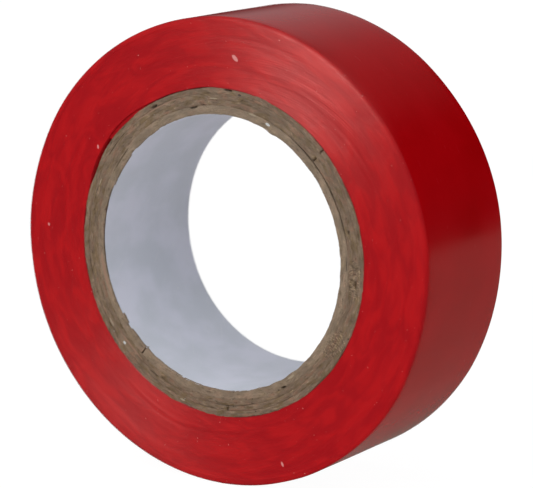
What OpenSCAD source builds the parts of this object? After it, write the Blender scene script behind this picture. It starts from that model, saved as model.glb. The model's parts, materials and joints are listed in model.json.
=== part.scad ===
// Electrical tape roll: an adhesive PVC strip wound on a spiral-wound paper core.
// The roll stands on its rim. The origin is the centre of the bore, the bore runs along Y,
// the front face looks along -Y and +Z is up. Angles are measured in the front view,
// anticlockwise from +X. The strip winds outwards clockwise, so its free end lies low on
// the left, and a short tail of it can be peeled away from the bottom of the roll.

/* [Tape] */
// Width of the strip
tape_w = 18; // [12:0.5:25]
// Outside diameter of the roll
roll_d = 54.5; // [46:0.5:70]
// Thickness of one layer of film and adhesive
film_t = 0.13; // [0.10:0.01:0.25]

/* [Core] */
// Diameter of the bore
bore_d = 32.25; // [30:0.05:33]
// Outside diameter of the core
core_d = 38.25; // [36:0.05:40]
// Width of the core, a little less than the strip's
core_w = 17.6; // [10:0.1:18]
// How far the core's front edge sits behind the front face of the tape
core_inset = 0.05; // [0:0.05:0.4]
// Thickness of the white liner paper in the bore
liner_t = 0.3; // [0.1:0.05:0.5]

/* [Butt joints of the plies] */
// Angle of each ply's joint on the front of the core, from the innermost ply outwards
joint_at = [230, 43.5, 273.5, 43.5]; // [0:0.5:360]
// Gap left between the two edges of a ply
joint_gap = 0.12; // [0.05:0.01:0.4]
// Slant of the joints across the width, from the spiral winding
joint_slant = 14; // [0:1:25]

/* [Start of the strip] */
// Angle of the end face of the folded start
start_at = 141; // [120:1:160]
// Thickness of the folded start, and height of the gap beside it
start_t = 0.55; // [0.3:0.05:0.8]
// Angle over which the first turns come back down to the core, each way
start_span = 25; // [20:1:30]

/* [Free end] */
// Angle that each link of the free end covers on the roll
link_sweep = 8; // [6:0.5:10]

/* [Hidden] */
$fn = 180;

film_red = [0.64, 0.07, 0.09];
board_grey = [0.50, 0.45, 0.37];
liner_white = [0.80, 0.82, 0.85];

ply_count = len(joint_at);
bore_r = bore_d / 2;
core_r = core_d / 2;
liner_r = bore_r + liner_t;
ply_t = (core_r - liner_r) / ply_count;
core_y = -tape_w / 2 + core_inset + core_w / 2;

// The outline of the wound strip is a spiral drawn with two centres: the upper half is an arc
// about the bore's axis, and the lower half is an arc about a centre half a layer to the left.
upper_r = roll_d / 2;
lower_x = -film_t / 2;
lower_r = upper_r + film_t / 2;
under_tail_r = lower_r - film_t;
tail_root = 270;

// The first turns ride over the folded start along an arc that bulges out of the core.
bulge_r = core_r + start_t;
bulge_x = (bulge_r * bulge_r - core_r * core_r) / (2 * (bulge_r - core_r * cos(start_span)));

// A ring about the Y axis, centred on the width
module ring(outer_r, inner_r, width) {
    rotate([90, 0, 0]) difference() {
        cylinder(r = outer_r, h = width, center = true);
        cylinder(r = inner_r, h = width + 1, center = true);
    }
}

// A flat outline in the front view, drawn through a width
module through(width) {
    rotate([90, 0, 0]) linear_extrude(width, center = true) children();
}

// White coated paper that lines the bore
module core_liner() {
    color(liner_white) translate([0, core_y, 0]) ring(liner_r, bore_r, core_w);
}

// One ply of grey chipboard, number 1 being the innermost, split by its slanted butt joint
module core_ply(number) {
    inner_r = liner_r + (number - 1) * ply_t;
    color(board_grey) translate([0, core_y, 0]) difference() {
        ring(inner_r + ply_t, inner_r, core_w);
        rotate([0, -joint_at[number - 1], 0]) translate([core_r, -core_w / 2, 0])
            rotate([joint_slant, 0, 0]) cube([2 * core_r, 4 * core_w, joint_gap], center = true);
    }
}

// Outline of the bulge under the first turns, with the core cut away from it
module bulge_outline() {
    rotate(start_at) difference() {
        translate([bulge_x, 0]) circle(r = bulge_r - bulge_x);
        circle(r = core_r);
    }
}

// The strip's own start, folded on itself and stuck to the core
module tape_start_fold() {
    color(film_red) through(tape_w) difference() {
        bulge_outline();
        rotate(start_at) square(2 * core_r);
    }
}

// All the wound turns as one block, from the folded start to the root of the free end
module tape_wound_turns() {
    color(film_red) through(tape_w) difference() {
        union() {
            intersection() {
                circle(r = upper_r);
                translate([-2 * upper_r, 0]) square([4 * upper_r, 2 * upper_r]);
            }
            intersection() {
                translate([lower_x, 0]) circle(r = lower_r);
                translate([lower_x, -2 * upper_r]) square([2 * upper_r, 2 * upper_r]);
            }
            intersection() {
                translate([lower_x, 0]) circle(r = under_tail_r);
                translate([lower_x - 2 * upper_r, -2 * upper_r]) square([2 * upper_r, 2 * upper_r]);
            }
        }
        circle(r = core_r);
        bulge_outline();
    }
}

// One link of the free end. Link 1 meets the wound turns at the bottom of the roll, and each
// link hinges on the outer edge of the one before it.
module tape_tail(number) {
    color(film_red) translate([lower_x, 0, 0]) rotate([90, 0, 0])
        rotate([0, 0, tail_root - number * link_sweep]) rotate_extrude(angle = link_sweep)
            translate([under_tail_r, -tape_w / 2]) square([film_t, tape_w]);
}

core_liner();
core_ply(1);  // core_ply_1
core_ply(2);  // core_ply_2
core_ply(3);  // core_ply_3
core_ply(4);  // core_ply_4
tape_start_fold();
tape_wound_turns();
tape_tail(1);  // tape_tail_1
tape_tail(2);  // tape_tail_2
tape_tail(3);  // tape_tail_3
tape_tail(4);  // tape_tail_4
tape_tail(5);  // tape_tail_5
tape_tail(6);  // tape_tail_6
tape_tail(7);  // tape_tail_7
tape_tail(8);  // tape_tail_8
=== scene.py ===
"""Looks of a roll of red electrical tape on a chipboard core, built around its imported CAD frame.

Angles are read in the front view, anticlockwise from +X, and the roll's axis is Y. Lengths inside
the script are millimetres and become metres when a mesh is made.
"""
import json
import math

import bpy
import numpy as np
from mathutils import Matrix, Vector


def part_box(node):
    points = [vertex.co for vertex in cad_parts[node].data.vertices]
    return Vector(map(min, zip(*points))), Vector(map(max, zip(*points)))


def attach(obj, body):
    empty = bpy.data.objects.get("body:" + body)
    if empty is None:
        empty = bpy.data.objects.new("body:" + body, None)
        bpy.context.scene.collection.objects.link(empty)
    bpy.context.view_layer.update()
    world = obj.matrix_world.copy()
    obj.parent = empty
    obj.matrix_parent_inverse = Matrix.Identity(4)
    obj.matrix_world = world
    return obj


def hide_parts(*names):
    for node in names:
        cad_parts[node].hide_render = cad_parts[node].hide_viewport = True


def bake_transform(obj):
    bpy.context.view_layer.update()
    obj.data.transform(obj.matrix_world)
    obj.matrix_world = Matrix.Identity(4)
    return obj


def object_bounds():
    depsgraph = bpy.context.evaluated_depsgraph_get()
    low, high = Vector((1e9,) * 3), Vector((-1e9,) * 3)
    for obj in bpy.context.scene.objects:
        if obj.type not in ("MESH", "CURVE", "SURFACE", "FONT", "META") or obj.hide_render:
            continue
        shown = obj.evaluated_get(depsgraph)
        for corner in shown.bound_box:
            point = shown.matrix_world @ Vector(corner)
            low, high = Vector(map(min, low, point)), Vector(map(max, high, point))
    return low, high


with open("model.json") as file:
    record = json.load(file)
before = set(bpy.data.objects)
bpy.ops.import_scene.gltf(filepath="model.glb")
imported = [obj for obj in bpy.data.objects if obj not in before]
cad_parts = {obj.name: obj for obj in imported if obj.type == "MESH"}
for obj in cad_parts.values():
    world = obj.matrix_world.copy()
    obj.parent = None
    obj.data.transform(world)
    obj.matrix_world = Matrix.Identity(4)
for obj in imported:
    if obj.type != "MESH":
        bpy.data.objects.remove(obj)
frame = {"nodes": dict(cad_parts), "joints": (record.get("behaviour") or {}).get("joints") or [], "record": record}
cad_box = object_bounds()

MM = 0.001


# ---------------------------------------------------------------- dimensions, read from the frame
def box_mm(node):
    """Lowest and highest corners of a CAD node, in millimetres."""
    low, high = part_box(node)
    return np.array(low) / MM, np.array(high) / MM


def bore_radius_mm():
    """Radius of the bore, from the record's mount."""
    mounts = {mount["name"]: mount for mount in frame["record"]["mounts"]}
    return mounts["core_bore"]["dims"]["r_mm"]


ROLL_LOW, ROLL_HIGH = box_mm("tape_wound_turns")
CORE_LOW, CORE_HIGH = box_mm("core_ply_4")
LINER_HIGH = box_mm("core_liner")[1]

HALF_W = ROLL_HIGH[1]
UPPER_R = ROLL_HIGH[0]
LOWER_R = -ROLL_LOW[2]
LOWER_X = UPPER_R - LOWER_R
FILM_T = -2 * LOWER_X
UNDER_TAIL_R = LOWER_R - FILM_T
CORE_R = CORE_HIGH[0]
CORE_FRONT, CORE_BACK = CORE_LOW[1], CORE_HIGH[1]
LINER_R = LINER_HIGH[0]
BORE_R = bore_radius_mm()

PLY_NODES = ["core_ply_1", "core_ply_2", "core_ply_3", "core_ply_4"]
PLY_T = (CORE_R - LINER_R) / len(PLY_NODES)

TAIL_JOINTS = [joint for joint in frame["joints"] if joint["child"].startswith("tail_link")]
TAIL_ROOT = 270.0


def angle_of(point):
    """Angle of a point about the centre of the roll's lower half, in degrees."""
    return math.degrees(math.atan2(point[2] / MM, point[0] / MM - LOWER_X)) % 360


LINK_SWEEP = TAIL_ROOT - angle_of(TAIL_JOINTS[1]["pos_m"])
TAIL_END = TAIL_ROOT - LINK_SWEEP * len(TAIL_JOINTS)

# The first turns bulge over the folded start of the strip, whose box gives its angle and height
FOLD_LOW, FOLD_HIGH = box_mm("tape_start_fold")
START_AT = 180 - math.degrees(math.asin(FOLD_LOW[2] / CORE_R))
START_T = FOLD_LOW[0] / math.cos(math.radians(START_AT)) - CORE_R
START_SPAN = START_AT - math.degrees(math.acos(FOLD_HIGH[0] / CORE_R))
BULGE_R = CORE_R + START_T
BULGE_X = (BULGE_R**2 - CORE_R**2) / (2 * (BULGE_R - CORE_R * math.cos(math.radians(START_SPAN))))


def butt_joint_angle(node):
    """Angle at which a ply's butt joint meets the front of the core, from the CAD node's faces."""
    mesh = frame["nodes"][node].data
    corners = []
    for face in mesh.polygons:
        along_ring = Vector((-face.center.z, 0, face.center.x)).normalized()
        if abs(face.normal.dot(along_ring)) > 0.9:
            corners += [mesh.vertices[index].co for index in face.vertices]
    front = min(corner.y for corner in corners)
    at_front = [corner for corner in corners if corner.y < front + 0.1 * MM]
    x = sum(corner.x for corner in at_front)
    z = sum(corner.z for corner in at_front)
    return math.degrees(math.atan2(z, x)) % 360


BUTT_JOINTS = [butt_joint_angle(node) for node in PLY_NODES]


# ---------------------------------------------------------------- shapes
def smooth(value, low, high):
    """0 below low, 1 above high, and a smooth step between them."""
    t = np.clip((value - low) / (high - low), 0, 1)
    return t * t * (3 - 2 * t)


def turn_from(theta, at):
    """Signed angle from at to theta, in degrees, between -180 and 180."""
    return (theta - at + 180) % 360 - 180


def window(theta, start, end, fade):
    """1 between two angles, fading to 0 over fade degrees at each end."""
    middle, half = (start + end) / 2, (end - start) / 2
    return 1 - smooth(np.abs(turn_from(theta, middle)), half - fade, half)


def spot(theta, at, width):
    """A bell of height 1 about an angle."""
    return np.exp(-((turn_from(theta, at) / width) ** 2))


def ripple(theta, seed, low, high, count):
    """A smooth random wave around the roll, about 1 high, made of whole numbers of waves a turn."""
    draw = np.random.default_rng(seed)
    waves = draw.integers(low, high, count)
    phases = draw.uniform(0, 2 * math.pi, count)
    turn = np.radians(theta)
    total = sum(np.sin(k * turn + p) for k, p in zip(waves, phases))
    return total / math.sqrt(count / 2)


def flow(theta, r, seed, around, across, count):
    """Random waves that run mostly around the roll: around is waves a turn, across waves a mm."""
    draw = np.random.default_rng(seed)
    turn = np.radians(theta)
    total = 0
    for _ in range(count):
        k = draw.integers(-around, around + 1)
        m = draw.uniform(across[0], across[1]) * 2 * math.pi
        total = total + np.sin(k * turn + m * r + draw.uniform(0, 2 * math.pi))
    return total / math.sqrt(count / 2)


def crease(theta, r, start, end, r_start, r_end, width):
    """A ridge of height 1 along an arc that drifts from one radius to another."""
    along = np.clip(turn_from(theta, start) / (end - start), 0, 1)
    centre = r_start + (r_end - r_start) * along
    return np.exp(-(((r - centre) / width) ** 2)) * window(theta, start, end, (end - start) / 3)


def lumps(theta, seed, count, widest, tallest):
    """Separate bumps and smaller notches along an edge. Widths are degrees, heights millimetres."""
    draw = np.random.default_rng(seed)
    total = 0
    for _ in range(count):
        at = draw.uniform(0, 360)
        width = draw.uniform(0.3 * widest, widest)
        total = total + draw.uniform(-0.6 * tallest, tallest) * spot(theta, at, width)
    return total


def outer_radius(theta):
    """Outer surface of the wound turns, one layer lower past the root of the tail."""
    turn = np.radians(theta)
    lower = np.where(np.cos(turn) >= 0, LOWER_R, UNDER_TAIL_R)
    lower = LOWER_X * np.cos(turn) + np.sqrt(lower**2 - (LOWER_X * np.sin(turn)) ** 2)
    return np.where(np.sin(turn) >= 0, UPPER_R, lower)


def bulge_radius(theta):
    """Outer edge of the bulge over the folded start, and the core's radius elsewhere."""
    turn = np.radians(turn_from(theta, START_AT))
    reach = np.maximum((BULGE_R - BULGE_X) ** 2 - (BULGE_X * np.sin(turn)) ** 2, 0)
    bulge = BULGE_X * np.cos(turn) + np.sqrt(reach)
    inside = np.abs(turn_from(theta, START_AT)) < START_SPAN
    return np.where(inside, np.maximum(bulge, CORE_R), CORE_R)


def around(theta, r, y):
    """Points on the roll, in millimetres, from angle, radius and depth."""
    turn = np.radians(theta)
    return np.stack(np.broadcast_arrays(r * np.cos(turn), y, r * np.sin(turn)), -1)


def grid_object(name, points, closed_rows, uv=None, slots=None):
    """A closed mesh from a grid of points [row, column, xyz] whose columns form closed loops.

    With closed_rows the last row joins the first. Otherwise both ends are capped with one face.
    uv holds two numbers a point, and slots the material slot of each column's faces.
    """
    rows, columns = points.shape[:2]
    index = np.arange(rows * columns).reshape(rows, columns)
    first = index if closed_rows else index[:-1]
    second = np.roll(index, -1, 0) if closed_rows else index[1:]
    quads = np.stack([first, second, np.roll(second, -1, 1), np.roll(first, -1, 1)], -1)
    faces = quads.reshape(-1, 4).tolist()
    if not closed_rows:
        faces.append(index[0].tolist())
        faces.append(index[-1][::-1].tolist())
    mesh = bpy.data.meshes.new(name)
    mesh.from_pydata((points.reshape(-1, 3) * MM).tolist(), [], faces)
    mesh.polygons.foreach_set("use_smooth", [True] * len(faces))
    if slots is not None:
        per_face = np.tile(slots, len(first))
        caps = [0] * (len(faces) - len(per_face))
        mesh.polygons.foreach_set("material_index", per_face.tolist() + caps)
    if uv is not None:
        layer = mesh.uv_layers.new(name="strip")
        corners = np.zeros(len(mesh.loops), np.int32)
        mesh.loops.foreach_get("vertex_index", corners)
        layer.data.foreach_set("uv", uv.reshape(-1, 2)[corners].astype(np.float32).ravel())
    mesh.update()
    if signed_volume(mesh) < 0:
        mesh.flip_normals()
    piece = bpy.data.objects.new(name, mesh)
    bpy.context.scene.collection.objects.link(piece)
    return piece


def signed_volume(mesh):
    """Volume of a closed mesh, negative when its faces point inwards."""
    mesh.calc_loop_triangles()
    corners = np.zeros(len(mesh.loop_triangles) * 3, np.int32)
    mesh.loop_triangles.foreach_get("vertices", corners)
    places = np.zeros(len(mesh.vertices) * 3)
    mesh.vertices.foreach_get("co", places)
    a, b, c = places.reshape(-1, 3)[corners.reshape(-1, 3)].transpose(1, 0, 2)
    return float(np.einsum("ij,ij->", a, np.cross(b, c))) / 6


def sharpen(piece, degrees):
    """Shading breaks wherever two faces meet at more than this angle."""
    piece.data.set_sharp_from_angle(angle=math.radians(degrees))


# ---------------------------------------------------------------- node trees
FRONT, BACK = -1.0, 1.0


class Graph:
    """Short calls for building a node tree. An input may be a number or another node's socket."""

    def __init__(self, tree):
        self.tree = tree
        tree.nodes.clear()

    def feed(self, socket, value):
        if isinstance(value, bpy.types.NodeSocket):
            self.tree.links.new(value, socket)
        else:
            socket.default_value = value

    def put(self, kind, inputs=None, **settings):
        node = self.tree.nodes.new(kind)
        for name, value in settings.items():
            setattr(node, name, value)
        for name, value in (inputs or {}).items():
            self.feed(node.inputs[name], value)
        return node

    def math(self, operation, a, b=0.0, c=0.0):
        node = self.put("ShaderNodeMath", {0: a, 1: b, 2: c}, operation=operation)
        return node.outputs[0]

    def mix(self, factor, a, b, blend="MIX"):
        node = self.put(
            "ShaderNodeMix", {0: factor, 6: a, 7: b}, data_type="RGBA", blend_type=blend
        )
        return node.outputs[2]

    def vector(self, x, y, z):
        return self.put("ShaderNodeCombineXYZ", {0: x, 1: y, 2: z}).outputs[0]

    def noise(self, vector, scale, detail=3.0, roughness=0.5, distortion=0.0):
        sizes = {"Scale": scale, "Detail": detail, "Roughness": roughness, "Distortion": distortion}
        return self.put("ShaderNodeTexNoise", {"Vector": vector, **sizes}).outputs[0]

    def step(self, value, low, high, start=0.0, end=1.0):
        """A smooth step from start to end as value goes from low to high."""
        limits = {"From Min": low, "From Max": high, "To Min": start, "To Max": end}
        node = self.put(
            "ShaderNodeMapRange", {"Value": value, **limits}, interpolation_type="SMOOTHSTEP"
        )
        return node.outputs[0]

    def bump(self, height, depth_mm, normal=None):
        inputs = {"Height": height, "Distance": depth_mm * MM, "Strength": 1.0}
        if normal is not None:
            inputs["Normal"] = normal
        return self.put("ShaderNodeBump", inputs).outputs[0]


def new_material(name):
    """A material with an empty node tree, and the calls that fill the tree."""
    material = bpy.data.materials.new(name)
    material.use_nodes = True
    return material, Graph(material.node_tree)


def finish_material(g, **inputs):
    """Principled surface with these inputs, named as its sockets are with _ for a space."""
    sockets = {name.replace("_", " "): value for name, value in inputs.items()}
    surface = g.put("ShaderNodeBsdfPrincipled", sockets)
    g.put("ShaderNodeOutputMaterial", {"Surface": surface.outputs[0]})


def polar(g):
    """Sockets for x/r, z/r, radius and depth in millimetres, from the object's own space."""
    place = g.put("ShaderNodeTexCoord").outputs["Object"]
    parts = g.put("ShaderNodeSeparateXYZ", {"Vector": place}).outputs
    x, y, z = (g.math("MULTIPLY", part, 1 / MM) for part in parts)
    squares = g.math("ADD", g.math("MULTIPLY", x, x), g.math("MULTIPLY", z, z))
    r = g.math("SQRT", squares)
    return g.math("DIVIDE", x, r), g.math("DIVIDE", z, r), r, y


def streaks(g, place, along, across, depth=0.0, **noise):
    """Noise drawn out around the roll. along and across are its sizes in millimetres."""
    cx, cz, r, y = place
    typical_r = 23.0
    turn = typical_r / along
    vector = g.vector(
        g.math("MULTIPLY", cx, turn),
        g.math("MULTIPLY", cz, turn),
        g.math("ADD", g.math("DIVIDE", r, across), g.math("MULTIPLY", y, depth)),
    )
    return g.noise(vector, 1.0, **noise)


def scatter(draw, count, r_range, lengths, widths, leans=(0.0, 0.0)):
    """Random places and sizes for small patches, as mark takes them."""
    for _ in range(count):
        at = draw.uniform(0, 360)
        sizes = [draw.uniform(low, high) for low, high in (r_range, lengths, widths, leans)]
        yield (at, *sizes, float(draw.choice([FRONT, BACK])))


def mark(g, place, at, r_middle, length, width, lean, side):
    """A small elongated patch on one side of the roll, about 1 inside and 0 outside.

    length lies along the radius and width around it, both in millimetres, and lean turns the patch.
    """
    cx, cz, r, y = place
    turn = math.radians(at)
    sideways = g.math(
        "SUBTRACT", g.math("MULTIPLY", cz, math.cos(turn)), g.math("MULTIPLY", cx, math.sin(turn))
    )
    sideways = g.math("MULTIPLY", sideways, r_middle)
    outwards = g.math("SUBTRACT", r, r_middle)
    tilt = math.radians(lean)
    along = g.math(
        "ADD",
        g.math("MULTIPLY", outwards, math.cos(tilt)),
        g.math("MULTIPLY", sideways, math.sin(tilt)),
    )
    across = g.math(
        "SUBTRACT",
        g.math("MULTIPLY", sideways, math.cos(tilt)),
        g.math("MULTIPLY", outwards, math.sin(tilt)),
    )
    torn_edge = g.noise(g.vector(along, across, 0.0), 3.0)
    ragged = g.math("MULTIPLY", g.math("SUBTRACT", torn_edge, 0.5), 0.7)
    along = g.math("DIVIDE", along, length / 2)
    across = g.math("DIVIDE", across, width / 2)
    far = g.math("ADD", g.math("MULTIPLY", along, along), g.math("MULTIPLY", across, across))
    facing = g.math(
        "ADD", g.math("MULTIPLY", cx, math.cos(turn)), g.math("MULTIPLY", cz, math.sin(turn))
    )
    near = g.step(g.math("ADD", far, ragged), 1.25, 0.75)
    near = g.math("MULTIPLY", near, g.math("GREATER_THAN", facing, 0.0))
    return g.math("MULTIPLY", near, g.math("GREATER_THAN", g.math("MULTIPLY", y, side), 0.0))


# ---------------------------------------------------------------- materials
WEAR_SEED = 5
PALE_RED = (0.80, 0.38, 0.36, 1)


def tape_edges_material():
    """Side of the roll: the edges of the wound turns, waxy red, with lines that follow them.

    The lines run around the roll, so the gloss is stretched across them, towards and from the axis.
    """
    material, g = new_material("tape_edges")
    place = polar(g)
    cx, cz, r, _ = place

    broad = streaks(g, place, 4.5, 1.5, detail=2.0, distortion=0.8)
    fine = streaks(g, place, 1.3, 0.26, detail=4.0, roughness=0.6, distortion=0.5)
    hair = streaks(g, place, 2.2, 0.10, detail=2.0)
    skin = streaks(g, place, 0.30, 0.24, detail=2.0)
    wrinkle = wrinkles(g, place)
    deep, lit = (0.38, 0.000, 0.005, 1), (0.48, 0.002, 0.006, 1)
    colour = g.mix(g.step(broad, 0.35, 0.7), deep, lit)
    colour = g.mix(g.step(fine, 0.60, 0.8, 0.0, 0.30), colour, (0.62, 0.02, 0.02, 1))
    colour = g.mix(g.step(hair, 0.42, 0.30, 0.0, 0.12), colour, (0.28, 0.000, 0.004, 1))
    # Painted shade: a thin darker band on the inner edge of the tape's face, where it meets the core.
    painted_shade_at_core = g.math("MULTIPLY", g.step(r, CORE_R + 0.22, CORE_R + 0.02), g.step(broad, 0.35, 0.6))
    colour = g.mix(g.math("MULTIPLY", painted_shade_at_core, 0.65), colour, (0.16, 0.004, 0.010, 1))

    draw = np.random.default_rng(WEAR_SEED)
    scuff_r = (CORE_R + 0.8, UPPER_R - 0.8)
    for scuff in scatter(draw, 6, scuff_r, (0.2, 1.0), (0.2, 0.5), (0.0, 60.0)):
        patch = g.math("MULTIPLY", mark(g, place, *scuff), 0.65)
        colour = g.mix(patch, colour, PALE_RED)

    dust = streaks(g, place, 0.22, 0.22, detail=0.0)
    colour = g.mix(g.step(dust, 0.855, 0.89, 0.0, 0.5), colour, (0.85, 0.35, 0.32, 1))

    normal = g.bump(g.math("ADD", g.math("MULTIPLY", fine, 0.6), g.math("MULTIPLY", hair, 0.3)), 0.014)
    normal = g.bump(g.math("ADD", broad, g.math("MULTIPLY", skin, 0.12)), 0.07, normal)
    normal = g.bump(wrinkle, 0.045, normal)
    finish_material(
        g,
        Base_Color=colour,
        Roughness=g.step(fine, 0.3, 0.7, 0.43, 0.53),
        Specular_IOR_Level=0.3,
        Specular_Tint=(1.0, 0.5, 0.45, 1),
        Anisotropic=0.82,
        Tangent=g.vector(cx, 0.0, cz),
        Normal=normal,
    )
    return material


def wrinkles(g, place):
    """Fine wavy lines that spiral slowly outwards, in broad patches of the roll's side."""
    cx, cz, r, _ = place
    twist = g.math("MULTIPLY", r, 0.30)
    cos, sin = g.math("COSINE", twist), g.math("SINE", twist)
    tx = g.math("SUBTRACT", g.math("MULTIPLY", cx, cos), g.math("MULTIPLY", cz, sin))
    tz = g.math("ADD", g.math("MULTIPLY", cx, sin), g.math("MULTIPLY", cz, cos))
    turns = [g.math("MULTIPLY", t, 13.0) for t in (tx, tz)]
    vector = g.vector(*turns, g.math("MULTIPLY", r, 0.45))
    lines = g.noise(vector, 1.0, 3.0, 0.55, 0.9)
    patches = streaks(g, place, 14.0, 5.0, detail=1.0)
    return g.math("MULTIPLY", lines, g.step(patches, 0.45, 0.6, 0.15, 1.0))


def film_material():
    """Outer face of the strip: smooth glossy PVC, drawn along the strip's own length."""
    material, g = new_material("tape_film")
    strip = g.put("ShaderNodeUVMap", uv_map="strip").outputs[0]
    parts = g.put("ShaderNodeSeparateXYZ", {"Vector": strip}).outputs
    along, across = parts[0], parts[1]
    lines = g.vector(g.math("MULTIPLY", along, 0.06), g.math("MULTIPLY", across, 1.1), 0.0)
    drawn = g.noise(lines, 1.0, 3.0)
    cloud = g.noise(g.vector(along, across, 3.0), 0.12, 2.0)
    peel = g.noise(g.vector(along, across, 7.0), 1.6, 2.0)
    colour = g.mix(g.step(cloud, 0.3, 0.7), (0.41, 0.000, 0.002, 1), (0.47, 0.000, 0.003, 1))
    thin_lines = g.vector(g.math("MULTIPLY", along, 0.35), g.math("MULTIPLY", across, 9.0), 5.0)
    scratch = g.step(g.noise(thin_lines, 1.0, 1.0), 0.74, 0.80)
    height = g.math("ADD", g.math("MULTIPLY", drawn, 1.0), g.math("MULTIPLY", peel, 0.15))
    height = g.math("SUBTRACT", height, g.math("MULTIPLY", scratch, 0.1))
    finish_material(
        g,
        Base_Color=colour,
        Roughness=g.math("ADD", g.step(cloud, 0.3, 0.7, 0.17, 0.22), g.math("MULTIPLY", scratch, 0.1)),
        Specular_IOR_Level=0.5,
        Normal=g.bump(height, 0.012),
    )
    return material


def adhesive_material():
    """Inner face of the strip: tacky rubber adhesive over the red film."""
    material, g = new_material("tape_adhesive")
    strip = g.put("ShaderNodeUVMap", uv_map="strip").outputs[0]
    grain = g.noise(strip, 2.6, 4.0, 0.6)
    lumps = g.noise(strip, 0.5, 2.0)
    colour = g.mix(g.step(lumps, 0.3, 0.7), (0.30, 0.012, 0.016, 1), (0.38, 0.022, 0.024, 1))
    height = g.math("ADD", grain, g.math("MULTIPLY", lumps, 2.0))
    finish_material(
        g,
        Base_Color=colour,
        Roughness=g.step(grain, 0.3, 0.7, 0.38, 0.6),
        Normal=g.bump(height, 0.02),
    )
    return material


# Wear of the board's cut end: how many to a ply, size along the radius, size around it, colour. The near-black
# entries are painted shade that stands in for small holes and slits.
WHITE, CREAM = (0.66, 0.68, 0.68, 1), (0.36, 0.29, 0.20, 1)
ROSE, PAINTED_HOLE_SHADE = (0.30, 0.18, 0.12, 1), (0.02, 0.014, 0.01, 1)
BOARD_WEAR = [
    (1, (0.35, 0.50), (3.0, 8.0), ROSE),
    (3, (0.12, 0.24), (0.5, 1.2), CREAM),
    (2, (0.15, 0.35), (0.3, 0.9), WHITE),
    (3, (0.12, 0.30), (0.2, 0.5), PAINTED_HOLE_SHADE),
    (1, (0.07, 0.10), (1.2, 1.9), PAINTED_HOLE_SHADE),
]


def board_material(name, seed, inner, outer):
    """Cut end of grey chipboard: matted fibres that wave around the core, with specks, scars, and near-black spots
    of painted shade that stand in for small holes and slits.

    inner and outer are the ply's radii in millimetres. The innermost ply is paler and smoother.
    """
    material, g = new_material(name)
    place = polar(g)
    cx, cz, r, y = place
    swirl = streaks(g, place, 5.0, 2.4, depth=0.3, detail=1.0)
    waved = g.math("ADD", r, g.math("MULTIPLY", swirl, 1.5))
    grain = (cx, cz, g.math("ADD", waved, seed * 7.0), y)
    broad = streaks(g, grain, 2.6, 0.9, depth=0.5, detail=2.0)
    hue = streaks(g, grain, 1.8, 0.5, depth=0.7, detail=2.0)
    fibre = streaks(g, grain, 1.1, 0.17, depth=4.0, detail=5.0, roughness=0.7, distortion=0.5)
    grit = streaks(g, place, 0.24, 0.20, depth=5.0, detail=3.0, roughness=0.75)
    torn = torn_fibres(g, place)

    olive, grey, brown = (0.190, 0.122, 0.060, 1), (0.225, 0.153, 0.100, 1), (0.262, 0.147, 0.090, 1)
    colour = g.mix(g.step(hue, 0.36, 0.52), olive, grey)
    colour = g.mix(g.step(hue, 0.52, 0.68), colour, brown)
    if seed == 1:
        colour = g.mix(0.55, colour, (0.30, 0.225, 0.155, 1))
    colour = g.mix(g.step(fibre, 0.47, 0.28, 0.0, 0.9), colour, (0.060, 0.034, 0.018, 1))
    colour = g.mix(g.step(fibre, 0.53, 0.76, 0.0, 0.9), colour, (0.44, 0.305, 0.190, 1))
    colour = g.mix(g.step(grit, 0.42, 0.22, 0.0, 0.7), colour, (0.070, 0.042, 0.022, 1))
    colour = g.mix(g.step(grit, 0.60, 0.78, 0.0, 0.6), colour, (0.42, 0.305, 0.20, 1))
    colour = g.mix(g.step(torn, 0.52, 0.66, 0.0, 0.7), colour, (0.50, 0.36, 0.22, 1))
    colour = g.mix(g.step(torn, 0.48, 0.36, 0.0, 0.6), colour, (0.05, 0.03, 0.016, 1))

    shade = g.step(broad, 0.3, 0.7, 0.74, 1.01)
    colour = g.mix(1.0, colour, g.vector(shade, shade, shade), "MULTIPLY")
    specks = streaks(g, place, 0.28, 0.24, depth=3.0, detail=1.0)
    colour = g.mix(g.step(specks, 0.25, 0.20), colour, (0.030, 0.022, 0.016, 1))
    flecks = streaks(g, place, 0.42, 0.20, depth=2.0, detail=1.0)
    colour = g.mix(g.step(flecks, 0.80, 0.84, 0.0, 0.7), colour, (0.50, 0.50, 0.46, 1))
    draw = np.random.default_rng(WEAR_SEED + seed)
    # Among these wear patches, the near-black ones are painted shade that stands in for small holes and slits.
    for count, lengths, widths, shade in BOARD_WEAR:
        for wear in scatter(draw, count, (inner, outer), lengths, widths):
            patch = g.math("MULTIPLY", mark(g, place, *wear), 0.85)
            colour = g.mix(patch, colour, shade)

    height = g.math("ADD", fibre, g.math("MULTIPLY", grit, 0.6))
    height = g.math("ADD", height, g.math("MULTIPLY", torn, 0.8))
    finish_material(
        g,
        Base_Color=colour,
        Roughness=g.step(fibre, 0.3, 0.7, 0.95, 0.8),
        Specular_IOR_Level=0.25,
        Normal=g.bump(height, 0.04 if seed == 1 else 0.09),
    )
    return material


def torn_fibres(g, place):
    """Fibres dragged across the grain where the blade tore the board, about 0.5 elsewhere."""
    cx, cz, r, _ = place
    vector = g.vector(
        g.math("ADD", g.math("MULTIPLY", cx, 120.0), g.math("MULTIPLY", r, 3.0)),
        g.math("MULTIPLY", cz, 120.0),
        g.math("MULTIPLY", r, 1.1),
    )
    strands = g.math("SUBTRACT", g.noise(vector, 1.0, 2.0, 0.6, 0.6), 0.5)
    draw = np.random.default_rng(WEAR_SEED + 20)
    torn_r = (LINER_R + 1.2, CORE_R - 1.0)
    where = 0.0
    for tear in scatter(draw, 3, torn_r, (1.6, 2.2), (3.4, 8.5), (-20.0, 8.0)):
        where = g.math("MAXIMUM", where, mark(g, place, *tear))
    return g.math("ADD", g.math("MULTIPLY", strands, where), 0.5)


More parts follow.
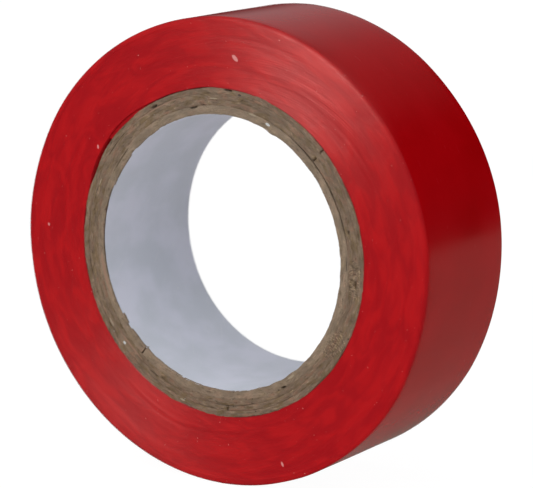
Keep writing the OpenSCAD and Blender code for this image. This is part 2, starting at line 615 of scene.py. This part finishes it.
def liner_material():
    """White coated paper with a soft sheen; its cut edge shows the grey stock under the coat."""
    material, g = new_material("liner_paper")
    place = polar(g)
    _, _, r, _ = place
    cloud = streaks(g, place, 7.0, 3.0, depth=0.16, detail=3.0)
    fine = streaks(g, place, 0.8, 0.5, depth=1.2, detail=3.0)
    colour = g.mix(g.step(cloud, 0.32, 0.68), (0.66, 0.69, 0.76, 1), (0.75, 0.765, 0.86, 1))
    scratch = scratches(g, place)
    colour = g.mix(g.math("MULTIPLY", scratch, 0.25), colour, (0.86, 0.86, 0.88, 1))
    rub = g.step(streaks(g, place, 1.3, 1.0, depth=0.5, detail=1.0), 0.80, 0.86)
    colour = g.mix(g.math("MULTIPLY", rub, 0.5), colour, (0.88, 0.88, 0.90, 1))

    stock = streaks(g, place, 0.7, 0.12, detail=4.0)
    edge = g.mix(g.step(stock, 0.3, 0.7), (0.30, 0.25, 0.19, 1), (0.55, 0.50, 0.42, 1))
    white_edge = g.step(streaks(g, place, 9.0, 6.0, detail=1.0), 0.50, 0.56)
    under_coat = g.math("SUBTRACT", g.step(r, BORE_R + 0.14, BORE_R + 0.20), white_edge)
    under_coat = g.math("MAXIMUM", under_coat, 0.0)
    colour = g.mix(under_coat, colour, edge)
    height = g.math("ADD", cloud, g.math("MULTIPLY", fine, 0.08))
    height = g.math("SUBTRACT", height, g.math("MULTIPLY", scratch, 0.08))
    finish_material(
        g,
        Base_Color=colour,
        Roughness=g.step(under_coat, 0.0, 1.0, 0.42, 0.9),
        Specular_IOR_Level=0.5,
        Normal=g.bump(height, 0.07),
    )
    return material


def scratches(g, place):
    """Fine slanting scratches on the bore, 1 on a scratch and 0 elsewhere."""
    cx, cz, _, y = place
    twist = g.math("MULTIPLY", y, 0.055)
    cos, sin = g.math("COSINE", twist), g.math("SINE", twist)
    tx = g.math("SUBTRACT", g.math("MULTIPLY", cx, cos), g.math("MULTIPLY", cz, sin))
    tz = g.math("ADD", g.math("MULTIPLY", cx, sin), g.math("MULTIPLY", cz, cos))
    turns = [g.math("MULTIPLY", t, 75.0) for t in (tx, tz)]
    vector = g.vector(*turns, g.math("MULTIPLY", y, 0.45))
    lines = g.step(g.noise(vector, 1.0, 0.0), 0.74, 0.80)
    patches = g.step(g.noise(g.vector(cx, cz, g.math("MULTIPLY", y, 0.08)), 2.2, 1.0), 0.50, 0.62)
    return g.math("MULTIPLY", lines, patches)


# ---------------------------------------------------------------- pieces
WAVE_SEED = 11
CORNER_R = 0.45
WRINKLES = 12


def out_of_round(theta):
    """Slight flats of the rim away from the free end, in millimetres."""
    flats = 0.08 * np.minimum(ripple(theta, WAVE_SEED + 10, 2, 8, 4), 0.4)
    return flats * (1 - window(theta, TAIL_END - 35, TAIL_ROOT + 30, 20))


def corner_radius(theta):
    """Radius of the rounding where the side of the roll meets the rim, a little uneven."""
    return CORNER_R * (1 + 0.15 * ripple(theta, WAVE_SEED + 1, 2, 14, 5))


def face_relief(theta, r, seed):
    """How far the side of the wound turns stands out, in millimetres: rings, waves and creases."""
    rings = flow(theta, r, seed, 2, (0.4, 1.4), 7) * 0.004
    drift = flow(theta, r, seed + 1, 6, (0.05, 0.35), 8) * 0.022
    inside_edge = smooth(r, CORE_R, CORE_R + 0.5)
    return (rings + drift) * (0.4 + 0.6 * inside_edge)


def pressed_wrinkles(theta, r, seed):
    """Wrinkles pressed into a side of the roll, each a ridge beside a furrow, in millimetres."""
    draw = np.random.default_rng(seed)
    lowest, highest = CORE_R + 1.5, UPPER_R - 0.9
    total = 0
    for _ in range(WRINKLES):
        start, sweep = draw.uniform(0, 360), draw.uniform(16, 46)
        r_start, drift = draw.uniform(lowest, highest), draw.uniform(-3.0, 3.0)
        r_end = float(np.clip(r_start + drift, lowest, highest))
        width, height = draw.uniform(0.10, 0.30), draw.uniform(0.018, 0.035)
        ridge = crease(theta, r, start, start + sweep, r_start, r_end, width)
        beside = 2 * width
        furrow = crease(theta, r, start, start + sweep, r_start + beside, r_end + beside, width)
        total = total + height * (ridge - furrow)
    return total


def rim_lip(theta, r):
    """A low lip just inside the front corner, along parts of the turn, in millimetres."""
    where = smooth(ripple(theta, WAVE_SEED + 11, 1, 4, 3), 0.0, 1.2)
    return 0.075 * np.exp(-(((r - UPPER_R + 0.67) / 0.08) ** 2)) * where


def wound_turns(edges, film):
    """All the wound turns as one closed ring, with rounded corners and a bulge over the start.

    Under the free end the rim is one layer lower and its rounded corners are cut off flat there,
    so that the free end carries the rest of the rounding.
    """
    columns, face_steps, corner_steps, band_steps, back_steps = 720, 72, 7, 12, 34
    theta = TAIL_ROOT - np.arange(columns) * 360 / columns
    theta[0] = TAIL_ROOT + 0.01
    theta = theta[:, None]
    r_in = bulge_radius(theta) + 0.02 * ripple(theta, WAVE_SEED, 5, 30, 6)
    r_out = outer_radius(theta) + out_of_round(theta)
    under_tail = window(theta, TAIL_END - 22, TAIL_ROOT + 0.005, 0.001)
    missing = FILM_T * under_tail * smooth(theta, TAIL_END - 22, TAIL_END - 2)
    corner = corner_radius(theta)
    r_full = r_out + missing

    out = np.linspace(0, 1, face_steps)[None, :]
    front_r = r_in + (r_full - corner - r_in) * out
    front_y = -HALF_W - face_relief(theta, front_r, WAVE_SEED + 2)
    front_y = front_y - pressed_wrinkles(theta, front_r, WAVE_SEED + 12) - rim_lip(theta, front_r)
    arc = np.linspace(0, 1, corner_steps + 1)[None, 1:] * np.arcsin(1 - missing / corner)
    front_corner_r = r_full - corner + corner * np.sin(arc)
    front_corner_y = front_y[:, -1:] + corner * (1 - np.cos(arc))
    back_out = np.linspace(1, 0, back_steps)[None, :]
    back_r = r_in + (r_full - corner - r_in) * back_out
    back_y = HALF_W + face_relief(theta, back_r, WAVE_SEED + 5)
    back_y = back_y + pressed_wrinkles(theta, back_r, WAVE_SEED + 13)
    back_corner_r = front_corner_r[:, ::-1]
    back_corner_y = back_y[:, :1] - corner * (1 - np.cos(arc[:, ::-1]))

    over = np.linspace(0, 1, band_steps + 2)[None, 1:-1]
    band_y = front_corner_y[:, -1:] + (back_corner_y[:, :1] - front_corner_y[:, -1:]) * over
    unevenness = 0.010 * np.sin(over * math.pi * 2 + ripple(theta, WAVE_SEED + 7, 1, 6, 3))
    band_r = r_out + unevenness * (missing == 0)
    inner_y = np.linspace(1, -1, 6)[None, 1:-1] * HALF_W
    inner_r = r_in + 0 * inner_y

    r = np.hstack([front_r, front_corner_r, band_r, back_corner_r, back_r, inner_r])
    y = np.hstack([np.broadcast_to(part, (columns, part.shape[1])) for part in
                   (front_y, front_corner_y, band_y, back_corner_y, back_y, inner_y)])
    points = around(theta, r, y)
    uv = np.stack(np.broadcast_arrays(np.radians(theta) * UPPER_R, y), -1)
    slots = np.zeros(r.shape[1], int)
    first_film = face_steps + corner_steps - 2
    slots[first_film:first_film + band_steps + 3] = 1
    piece = grid_object("tape_wound_roll", points, True, uv, slots)
    piece.data.materials.append(edges)
    piece.data.materials.append(film)
    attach(piece, "roll")
    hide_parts("tape_wound_turns")
    return piece


def start_fold(edges):
    """The strip's folded start on the core, with a ragged end face beside the open gap."""
    columns, rows = 12, 60
    theta = np.linspace(START_AT - START_SPAN + 0.6, START_AT, rows)[:, None]
    depth = np.linspace(-1, 1, columns)[None, :] * (HALF_W - 0.2)
    lift = bulge_radius(theta) - CORE_R
    ragged = 0.5 * ripple(depth * 20, WAVE_SEED + 9, 2, 12, 6) * smooth(theta, START_AT - 2, START_AT)
    top = around(theta + ragged, CORE_R + lift * 0.98, depth)
    bottom = around(theta + ragged * 0.6, CORE_R + 0.0 * lift, depth[:, ::-1])
    points = np.concatenate([top, bottom], 1)
    piece = grid_object("tape_folded_start", points, False)
    sharpen(piece, 35)
    piece.data.materials.append(edges)
    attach(piece, "roll")
    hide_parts("tape_start_fold")
    return piece


def tail_section():
    """Depth and height of points around the free end's cross-section, front edge first, in mm.

    Its edges carry on the rounding of the roll's corners. Height is measured from its outer face.
    """
    rounding = np.linspace(math.pi / 2, math.asin(1 - FILM_T / CORNER_R), 4)
    edge_y = HALF_W - CORNER_R * (1 - np.cos(rounding))
    edge_h = -CORNER_R * (1 - np.sin(rounding))
    lay = np.linspace(-1, 1, 22)[1:-1]
    outer_y = np.concatenate([-edge_y[::-1], lay * edge_y[0], edge_y])
    outer_h = np.concatenate([edge_h[::-1], 0 * lay, edge_h])
    inner_y = -lay * edge_y[-1]
    return outer_y, outer_h, inner_y, 0 * inner_y - FILM_T + 0.002


def tail_link(number, film, adhesive):
    """One stretch of the free end, following on from the stretch before it."""
    along_steps = 14
    joint = TAIL_JOINTS[number - 1]
    is_last = number == len(TAIL_JOINTS)
    start = TAIL_ROOT - (number - 1) * LINK_SWEEP
    share = np.linspace(0, 1, along_steps)[:, None]
    outer_y, outer_h, inner_y, inner_h = tail_section()
    y = np.concatenate([outer_y, inner_y])[None, :] + 0 * share
    r = LOWER_R + np.concatenate([outer_h, inner_h])[None, :] + 0 * share
    cut = 0.12 * ripple(y * 20, WAVE_SEED + 20, 3, 14, 6) + 0.05 * y if is_last else 0
    theta = start - LINK_SWEEP * share + cut * share**6
    points = around(theta, r, y) + np.array([LOWER_X, 0, 0])
    uv = np.stack(np.broadcast_arrays(np.radians(theta) * UPPER_R, y), -1)
    slots = np.zeros(r.shape[1], int)
    slots[len(outer_y) - 1:] = 1
    piece = grid_object("tape_tail_%d_strip" % number, points, False, uv, slots)
    sharpen(piece, 40)
    piece.data.materials.append(film)
    piece.data.materials.append(adhesive)
    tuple(joint["pos_m"])
    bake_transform(piece)
    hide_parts("tape_tail_%d" % number)
    return piece


def inner_raggedness(theta):
    """How far the core's inner edge stands into the bore, in millimetres, below 0 for notches."""
    wave = 0.02 * ripple(theta, 41, 8, 50, 10) + 0.005 * ripple(theta, 42, 90, 200, 12)
    return wave + lumps(theta, 47, 6, 4.0, 0.20)


def outer_raggedness(theta):
    """How far the core's outer edge laps over the innermost turn, in millimetres."""
    wave = 0.045 * ripple(theta, 43, 4, 30, 8) + 0.012 * ripple(theta, 44, 60, 200, 12)
    return wave + lumps(theta, 48, 6, 3.5, 0.18)


def liner_shows(theta):
    """1 where the board's inner edge is worn back so that the liner's edge shows, else 0."""
    return smooth(ripple(theta, 46, 1, 4, 3), 0.5, 1.1)


def ply_gap(theta):
    """Width of the open gap around the second ply's butt joint, on its inner side, in mm."""
    joint = BUTT_JOINTS[1]
    main = 0.10 * window(theta, joint - 34, joint + 15, 10)
    ends = 0.05 * window(theta, joint - 40, joint + 30, 12)
    return (main + ends) * (1 + 0.12 * ripple(theta, 45, 10, 30, 6))


def core_ply(number, material):
    """One chipboard ply: a fibrous cut end, worn edges and the groove of its butt joint."""
    columns, face_steps = 1080, 9
    theta = (np.arange(columns) * 360 / columns)[:, None]
    inner = LINER_R + (number - 1) * PLY_T
    outer = inner + PLY_T
    gap = ply_gap(theta)
    is_first, is_second, is_last = number == 1, number == 2, number == len(PLY_NODES)

    across = np.linspace(0, 1, face_steps)[None, :]
    r_low = np.full_like(theta, inner) + (gap * 0.3 if is_second else 0)
    r_high = np.full_like(theta, outer) - (gap * 0.7 if is_first else 0)
    if is_first:
        r_low = BORE_R - 0.03 + 0.24 * liner_shows(theta) - inner_raggedness(theta)
    face_r = r_low + (r_high + (outer_raggedness(theta) if is_last else 0) - r_low) * across

    fibres = flow(theta, face_r, 50 + number, 90, (0.4, 2.2), 26) * 0.014
    sag = 0.025 * ripple(theta, 60 + number, 3, 16, 6)
    worn = 0.05 * (2 * across - 1) ** 6
    crack_at = BUTT_JOINTS[number - 1] + 0.06 * ripple(face_r * 90, 70, 1, 6, 4)
    crack = 0.40 * spot(theta, crack_at, 0.20)
    holes = pits(theta, face_r, 90 + number, inner, outer)
    proud = 0.075 if is_last else 0.03
    front_y = CORE_FRONT - proud + fibres + sag * 0.5 + worn + crack + holes
    back_y = CORE_BACK - fibres[:, ::-1] - worn

    wall = np.array([[0.25, 0.9]])
    front_wall_y = front_y[:, -1:] + wall
    gap_walls = np.hstack([r_high, np.full_like(theta, outer)])
    outer_wall_r = np.hstack([gap_walls, np.full_like(theta, outer)])
    outer_wall_y = np.hstack([front_wall_y, np.full_like(theta, CORE_BACK - 0.3)])
    inner_wall_y = np.hstack([np.full_like(theta, CORE_BACK - 0.3), front_y[:, :1] + wall[:, ::-1]])
    inner_wall_r = np.hstack([np.full_like(theta, inner), np.full_like(theta, inner), r_low])
    back_r = outer + (inner - outer) * across + 0 * theta

    r = np.hstack([face_r, outer_wall_r, back_r, inner_wall_r])
    y = np.hstack([front_y, outer_wall_y, back_y, inner_wall_y])
    piece = grid_object("core_board_ply_%d" % number, around(theta, r, y), True)
    sharpen(piece, 50)
    piece.data.materials.append(material)
    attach(piece, "roll")
    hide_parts("core_ply_%d" % number)
    return piece


# Dents in the board's cut end: how many to a ply, length around, height along the radius, depth
PIT_KINDS = [(2, (0.15, 0.60), (0.09, 0.12), 0.6), (1, (2.0, 2.6), (0.05, 0.07), 0.22)]


def pits(theta, r, seed, inner, outer):
    """Small holes and longer slits in one ply's cut end, in millimetres of depth."""
    draw = np.random.default_rng(seed)
    total = 0
    for count, lengths, heights, depth in PIT_KINDS:
        for _ in range(count):
            at, r_at = draw.uniform(0, 360), draw.uniform(inner, outer)
            length, height = draw.uniform(*lengths), draw.uniform(*heights)
            around_ring = np.radians(turn_from(theta, at)) * r_at / length
            far = around_ring**2 + ((r - r_at) / height) ** 2
            total = total + depth * np.exp(-(far**2))
    return total


def liner(material):
    """The white paper in the bore, with a soft helical lap where its edges overlap."""
    columns, deep_steps = 900, 60
    theta = (np.arange(columns) * 360 / columns)[:, None]
    front = CORE_FRONT + 0.02 - 0.05 * liner_shows(theta) + 0.02 * ripple(theta, 80, 20, 90, 10)
    depth = np.linspace(0, 1, deep_steps)[None, :]
    y_in = front + (CORE_BACK - 0.05 - front) * depth
    lap_at = 20 + 4.0 * (y_in - front)
    past_lap = turn_from(theta, lap_at)
    lap = 0.07 * smooth(past_lap, -0.3, 0.3) * (1 - smooth(past_lap, 2, 35))
    wave = 0.010 * flow(theta, y_in, 81, 5, (0.02, 0.12), 6)
    r_in = BORE_R + lap + wave
    y_out = y_in[:, ::-1][:, ::6]
    r_out = np.full_like(y_out, LINER_R)
    r = np.hstack([r_in, r_out])
    y = np.hstack([y_in, y_out])
    piece = grid_object("core_white_liner", around(theta, r, y), True)
    sharpen(piece, 50)
    piece.data.materials.append(material)
    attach(piece, "roll")
    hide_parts("core_liner")
    return piece


# ---------------------------------------------------------------- stage, light and camera
# The eye's angles are degrees from the front and above the floor; the shifts centre the roll
CAMERA_AZIMUTH = 32.38
CAMERA_ELEVATION = 10.76
CAMERA_DISTANCE = 11.54 * UPPER_R * MM
CAMERA_LENS = 180.9
CAMERA_FSTOP = 48.0
SHIFT_X, SHIFT_Y = 0.0096, -0.0051


def direction(azimuth, elevation):
    """Unit vector from the roll towards a place seen at these angles, 0 azimuth being the front."""
    a, e = math.radians(azimuth), math.radians(elevation)
    return np.array([math.sin(a) * math.cos(e), -math.cos(a) * math.cos(e), math.sin(e)])


def face_towards(thing, target):
    """Turns a camera or light so that its -Z looks at a point, with its top upwards."""
    away = Vector(target) - Vector(thing.location)
    thing.rotation_euler = away.to_track_quat("-Z", "Y").to_euler()


def camera():
    """The scene's camera, focused on the front face so that it stays sharp from any side."""
    data = bpy.data.cameras.new("camera")
    data.sensor_width = 36
    data.lens = CAMERA_LENS
    data.shift_x, data.shift_y = SHIFT_X, SHIFT_Y
    data.clip_start = 0.01
    sharp_at = bpy.data.objects.new("focus_point", None)
    sharp_at.location = (0, -HALF_W * MM, 0)
    bpy.context.scene.collection.objects.link(sharp_at)
    data.dof.use_dof = True
    data.dof.focus_object = sharp_at
    data.dof.aperture_fstop = CAMERA_FSTOP
    eye = bpy.data.objects.new("camera", data)
    eye.location = direction(CAMERA_AZIMUTH, CAMERA_ELEVATION) * CAMERA_DISTANCE
    bpy.context.scene.collection.objects.link(eye)
    face_towards(eye, (0, 0, 0))
    bpy.context.scene.camera = eye


def soft_light(name, azimuth, elevation, distance, size, power):
    """A round soft lamp that faces the roll. distance and size are metres, power watts."""
    data = bpy.data.lights.new(name, "AREA")
    data.shape = "DISK"
    data.size = size
    data.energy = power
    lamp = bpy.data.objects.new(name, data)
    lamp.location = direction(azimuth, elevation) * distance
    bpy.context.scene.collection.objects.link(lamp)
    face_towards(lamp, (0, 0, 0))
    return lamp


def floor():
    """A plain pale floor. Seen in a gloss it is a dimmer pool around the roll, as on a table."""
    size = 3.0
    mesh = bpy.data.meshes.new("floor")
    corners = [(-size, -size, 0), (size, -size, 0), (size, size, 0), (-size, size, 0)]
    mesh.from_pydata(corners, [], [(0, 1, 2, 3)])
    piece = bpy.data.objects.new("floor", mesh)
    piece.location = (0, 0, cad_box[0][2])
    bpy.context.scene.collection.objects.link(piece)
    material, g = new_material("floor_pale")
    place = g.put("ShaderNodeTexCoord").outputs["Object"]
    grain = g.noise(place, 400.0, 3.0)
    away = g.put("ShaderNodeVectorMath", {0: place}, operation="LENGTH").outputs["Value"]
    rays = g.put("ShaderNodeLightPath").outputs
    pale = g.mix(grain, (0.90, 0.90, 0.90, 1), (0.93, 0.93, 0.93, 1))
    pool = g.mix(g.step(away, 0.30, 0.33), (0.22, 0.195, 0.17, 1), (0.0, 0.0, 0.0, 1))
    lit = g.put("ShaderNodeBsdfDiffuse", {"Color": pale})
    shown = g.mix(rays["Is Glossy Ray"], (1.06, 1.06, 1.06, 1), pool)
    glow = g.put("ShaderNodeEmission", {"Color": shown, "Strength": 1.0})
    whiten = g.math("MULTIPLY", rays["Is Camera Ray"], 0.92)
    whiten = g.math("MAXIMUM", whiten, rays["Is Glossy Ray"])
    blend = g.put("ShaderNodeMixShader", {0: whiten, 1: lit.outputs[0], 2: glow.outputs[0]})
    g.put("ShaderNodeOutputMaterial", {"Surface": blend.outputs[0]})
    mesh.materials.append(material)


def studio():
    """White surroundings for the eye. Glosses see a dim room with a bright front and ceiling."""
    world = bpy.data.worlds.new("studio")
    bpy.context.scene.world = world
    world.use_nodes = True
    g = Graph(world.node_tree)
    look = g.put("ShaderNodeTexCoord").outputs["Generated"]
    x, y, z = g.put("ShaderNodeSeparateXYZ", {"Vector": look}).outputs
    rays = g.put("ShaderNodeLightPath").outputs
    above = g.step(z, 0.38, 0.75, 0.0, 0.27)
    left_wall = g.math("MULTIPLY", g.step(x, 0.12, -0.55), g.step(z, 0.0, 0.2, 0.0, 0.30))
    front = g.step(y, 0.1, -0.4, 0.0, 0.06)
    room = g.math("MAXIMUM", g.math("MAXIMUM", above, front), left_wall)
    towards_window = g.math("SUBTRACT", g.math("MULTIPLY", z, 0.45), g.math("MULTIPLY", y, 0.85))
    soft = g.step(towards_window, -0.4, 0.9, 0.04, 1.08)
    soft = g.math("MULTIPLY", soft, g.step(x, 0.95, 0.0, 0.70, 1.0))
    level = g.mix(rays["Is Glossy Ray"], g.vector(soft, soft, soft), g.vector(room, room, room))
    level = g.mix(rays["Is Camera Ray"], level, (1.0, 1.0, 1.0, 1))
    background = g.put("ShaderNodeBackground", {"Color": level, "Strength": 1.0})
    g.put("ShaderNodeOutputWorld", {"Surface": background.outputs[0]})
    bpy.context.scene.view_settings.view_transform = "Standard"


# ---------------------------------------------------------------- build
edges, film, adhesive = tape_edges_material(), film_material(), adhesive_material()
wound_turns(edges, film)
start_fold(edges)
for number in range(1, len(TAIL_JOINTS) + 1):
    tail_link(number, film, adhesive)
for number in range(1, len(PLY_NODES) + 1):
    inner = LINER_R + (number - 1) * PLY_T
    core_ply(number, board_material("core_board_%d" % number, number, inner, inner + PLY_T))
liner(liner_material())

floor()
studio()
soft_light("key", 5.0, 45.0, 0.50, 0.26, 0.40).visible_glossy = False
soft_light("sheen", -8.0, 29.0, 0.130, 0.065, 0.33).visible_diffuse = False
soft_light("back_light", 180.0, 12.0, 1.2, 0.30, 5.0).visible_glossy = False
camera()
